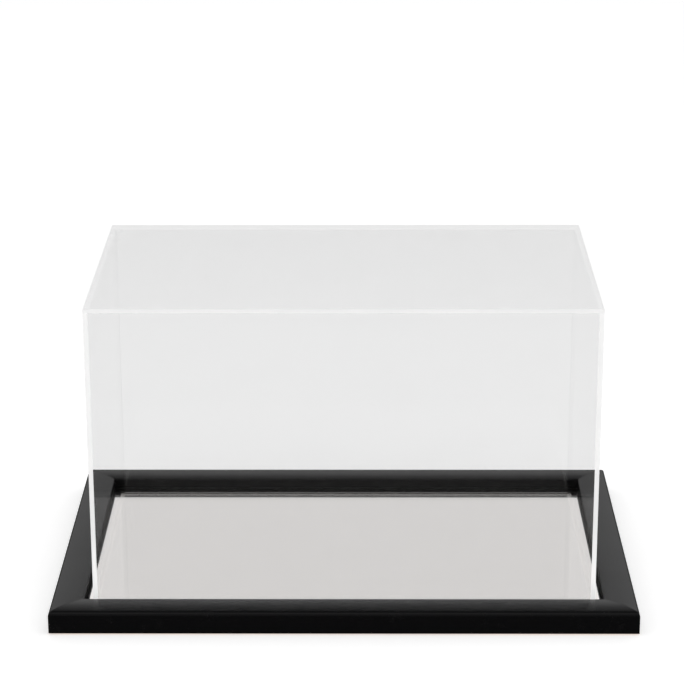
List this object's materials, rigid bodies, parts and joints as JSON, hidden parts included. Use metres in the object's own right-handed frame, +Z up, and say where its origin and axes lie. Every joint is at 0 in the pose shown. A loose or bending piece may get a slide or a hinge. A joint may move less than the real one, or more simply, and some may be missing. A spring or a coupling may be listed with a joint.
{
  "type": "tabletop display case",
  "caption": "Clear rectangular acrylic cover that stands inside a low black mitred frame with a mirror floor, for showing a collectible on a table or shelf.",
  "frame": {"origin": "middle of the footprint, on the surface that the case stands on", "axes": "+X along the case's length to the right seen from the front, +Y to the back, +Z up"},
  "size_m": [0.383, 0.253, 0.2125],
  "materials": {
    "acrylic": "clear acrylic sheet, polished edges, solvent cemented",
    "black_moulding": "satin black lacquer on wood moulding, bare underside",
    "mirror_glass": "silvered float glass with ground edges",
    "backing_board": "raw brown fibreboard",
    "steel": "bright pressed steel",
    "felt": "black wool felt, self-adhesive"
  },
  "bodies": {
    "base": {"front_rail": "black_moulding", "back_rail": "black_moulding", "left_rail": "black_moulding", "right_rail": "black_moulding", "mirror_panel": "mirror_glass", "backing_board": "backing_board", "corner_v_nails": "steel", "glazing_points": "steel", "felt_pad_front_left": "felt", "felt_pad_front_right": "felt", "felt_pad_back_left": "felt", "felt_pad_back_right": "felt"},
    "cover": {"cover_top_panel": "acrylic", "cover_front_panel": "acrylic", "cover_back_panel": "acrylic", "cover_left_panel": "acrylic", "cover_right_panel": "acrylic"}
  },
  "joints": [
    {"name": "cover_lift", "type": "slide", "parent": "base", "child": "cover", "axis": [0, 0, 1], "range_m": [0, 0.22]}
  ]
}
